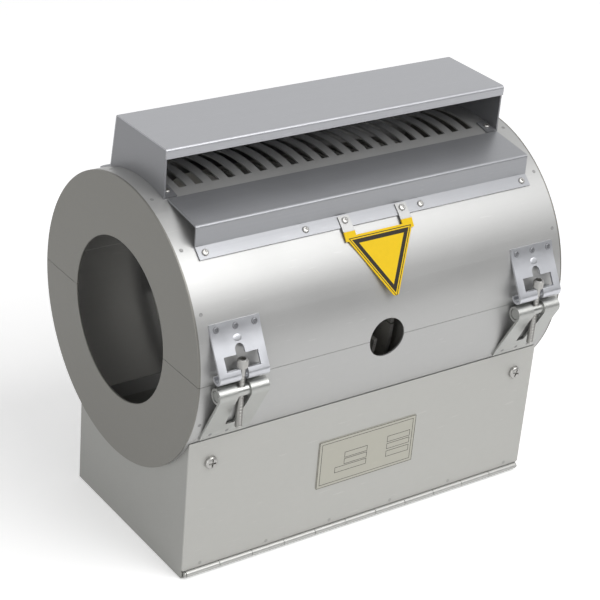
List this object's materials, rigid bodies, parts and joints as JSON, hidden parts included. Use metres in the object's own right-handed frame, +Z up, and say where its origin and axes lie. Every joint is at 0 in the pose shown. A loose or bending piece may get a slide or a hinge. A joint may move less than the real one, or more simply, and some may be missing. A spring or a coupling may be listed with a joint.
{
  "type": "air-cooled barrel heater",
  "caption": "Split round sheet-steel shroud on a box base, with finned cast-aluminium heater halves inside, a slotted air outlet under a hood, draw latches and a hinged wiring door.",
  "frame": {"origin": "centre of the air inlet in the underside of the base", "axes": "+X along the barrel axis, to the right of someone facing the door; -Y is the door side; +Z up"},
  "size_m": [0.308, 0.2296, 0.293],
  "materials": {
    "shroud_steel": "satin rolled sheet",
    "end_plate_steel": "satin cut sheet",
    "hood_steel": "brushed folded sheet",
    "base_steel": "brushed folded sheet",
    "door_steel": "brushed flat sheet",
    "nameplate_metal": "matt plate with a printed border",
    "plate_yellow": "yellow with a black border",
    "hinge_steel": "rolled hinge strip",
    "hook_steel": "polished pressing",
    "bracket_steel": "matt pressing",
    "trunnion_steel": "turned rod",
    "bolt_steel": "plated bolt",
    "rivet_metal": "blind rivet",
    "screw_steel": "plated screw",
    "plated_steel": "zinc plated",
    "cast_aluminium": "as cast with machined bore",
    "ceramic": "fired ceramic",
    "terminal_brass": "turned"
  },
  "bodies": {
    "housing": {"air_deflector": "hood_steel", "back_panel": "base_steel", "base_tray": "base_steel", "casting_lower": "cast_aluminium", "casting_upper": "cast_aluminium", "cheek_screws": "screw_steel", "clamp_bolts": "plated_steel", "clamp_nuts": "plated_steel", "clinch_nuts": "plated_steel", "end_plate_lower_left": "end_plate_steel", "end_plate_lower_right": "end_plate_steel", "end_plate_upper_left": "end_plate_steel", "end_plate_upper_right": "end_plate_steel", "flange_screws": "screw_steel", "hinge_leaf_base": "hinge_steel", "hinge_pin": "hinge_steel", "hood": "hood_steel", "hood_cheek_left": "hood_steel", "hood_cheek_right": "hood_steel", "hook_rivets": "rivet_metal", "latch_bracket_front_left": "bracket_steel", "latch_bracket_front_right": "bracket_steel", "latch_bracket_rear_left": "bracket_steel", "latch_bracket_rear_right": "bracket_steel", "latch_hook_front_left": "hook_steel", "latch_hook_front_right": "hook_steel", "latch_hook_rear_left": "hook_steel", "latch_hook_rear_right": "hook_steel", "lower_shell": "shroud_steel", "saddle_left": "base_steel", "saddle_right": "base_steel", "terminal_insulators": "ceramic", "terminal_nuts": "terminal_brass", "terminal_studs": "terminal_brass", "triangle_plate": "plate_yellow", "upper_shell": "shroud_steel"},
    "door": {"front_door": "door_steel", "door_screws": "screw_steel", "hinge_leaf_door": "hinge_steel", "nameplate": "nameplate_metal"},
    "trunnion_front_left": {"latch_trunnion_front_left": "trunnion_steel"},
    "bolt_front_left": {"latch_bolt_front_left": "bolt_steel"},
    "trunnion_front_right": {"latch_trunnion_front_right": "trunnion_steel"},
    "bolt_front_right": {"latch_bolt_front_right": "bolt_steel"},
    "trunnion_rear_left": {"latch_trunnion_rear_left": "trunnion_steel"},
    "bolt_rear_left": {"latch_bolt_rear_left": "bolt_steel"},
    "trunnion_rear_right": {"latch_trunnion_rear_right": "trunnion_steel"},
    "bolt_rear_right": {"latch_bolt_rear_right": "bolt_steel"}
  },
  "joints": [
    {"name": "door_hinge", "type": "hinge", "parent": "housing", "child": "door", "pos_m": [0, -0.07275, 0.00355], "axis": [1, 0, 0], "range_deg": [0, 90]},
    {"name": "latch_swing_front_left", "type": "hinge", "parent": "housing", "child": "trunnion_front_left", "pos_m": [-0.1254, -0.0913, 0.1535], "axis": [1, 0, 0], "range_deg": [0, 14]},
    {"name": "bolt_slack_front_left", "type": "slide", "parent": "trunnion_front_left", "child": "bolt_front_left", "axis": [0, 0, 1], "range_m": [0, 0.0025]},
    {"name": "latch_swing_front_right", "type": "hinge", "parent": "housing", "child": "trunnion_front_right", "pos_m": [0.1254, -0.0913, 0.1535], "axis": [1, 0, 0], "range_deg": [0, 14]},
    {"name": "bolt_slack_front_right", "type": "slide", "parent": "trunnion_front_right", "child": "bolt_front_right", "axis": [0, 0, 1], "range_m": [0, 0.0025]},
    {"name": "latch_swing_rear_left", "type": "hinge", "parent": "housing", "child": "trunnion_rear_left", "pos_m": [-0.1254, 0.1273, 0.1535], "axis": [-1, 0, 0], "range_deg": [0, 14]},
    {"name": "bolt_slack_rear_left", "type": "slide", "parent": "trunnion_rear_left", "child": "bolt_rear_left", "axis": [0, 0, 1], "range_m": [0, 0.0025]},
    {"name": "latch_swing_rear_right", "type": "hinge", "parent": "housing", "child": "trunnion_rear_right", "pos_m": [0.1254, 0.1273, 0.1535], "axis": [-1, 0, 0], "range_deg": [0, 14]},
    {"name": "bolt_slack_rear_right", "type": "slide", "parent": "trunnion_rear_right", "child": "bolt_rear_right", "axis": [0, 0, 1], "range_m": [0, 0.0025]}
  ]
}
